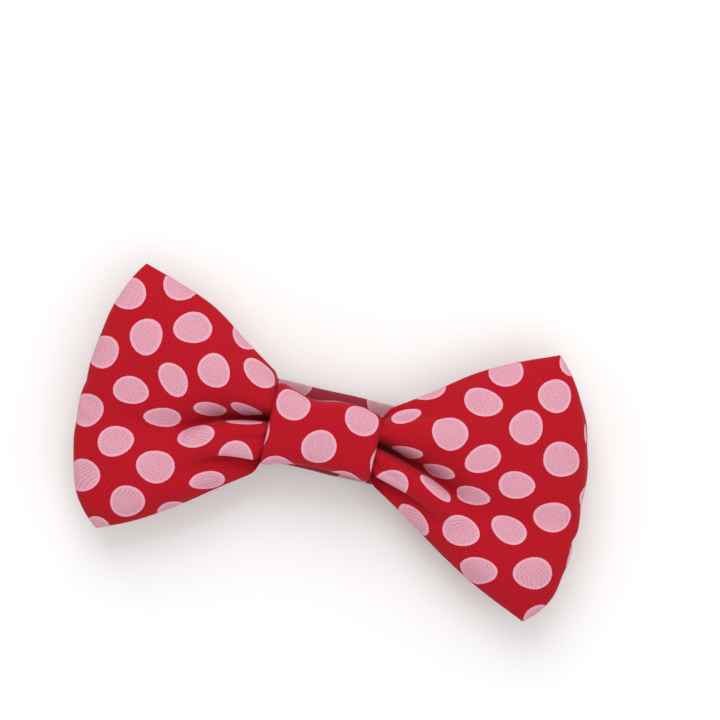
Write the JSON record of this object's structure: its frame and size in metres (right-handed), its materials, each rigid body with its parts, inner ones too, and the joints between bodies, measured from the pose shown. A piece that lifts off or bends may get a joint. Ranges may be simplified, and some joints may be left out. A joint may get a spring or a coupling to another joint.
{
  "type": "bow tie",
  "caption": "Slide-on bow tie in red cotton with pink dots: two padded wings pinched by a wrapped knot, a flat strap behind and elastic loops for a collar.",
  "frame": {"origin": "under the middle of the whole bow, on the plane it lies on, with the bow on its back", "axes": "+X along the bow towards the longer wing, which is the right one seen from the front; +Y to the bow's upper edge as worn; +Z out of the bow's front"},
  "size_m": [0.1482, 0.0786, 0.0256],
  "materials": {
    "dotted_cotton": "matte printed plain weave",
    "wadding": "soft polyester wadding",
    "interlining": "matte",
    "red_thread": "matte",
    "elastic": "ribbed knitted elastic"
  },
  "bodies": {
    "bow": {"bow_front_cloth": "dotted_cotton", "bow_back_cloth": "dotted_cotton", "left_wing_wadding": "wadding", "right_wing_wadding": "wadding", "waist_thread": "red_thread", "knot_band": "dotted_cotton", "knot_interfacing": "interlining", "knot_closing_stitches": "red_thread", "back_strap": "dotted_cotton", "strap_interlining": "interlining", "strap_edge_stitches": "red_thread", "strap_tacking_stitches": "red_thread"},
    "left_elastic": {"left_elastic_loop": "elastic"},
    "right_elastic": {"right_elastic_loop": "elastic"}
  },
  "joints": [
    {"name": "left_elastic_stretch", "type": "slide", "parent": "bow", "child": "left_elastic", "axis": [0, 0, -1], "range_m": [0, 0.006], "stiffness_N_per_m": 350, "deforming": ["left_elastic_loop"]},
    {"name": "right_elastic_stretch", "type": "slide", "parent": "bow", "child": "right_elastic", "axis": [0, 0, -1], "range_m": [0, 0.006], "stiffness_N_per_m": 350, "deforming": ["right_elastic_loop"]}
  ]
}
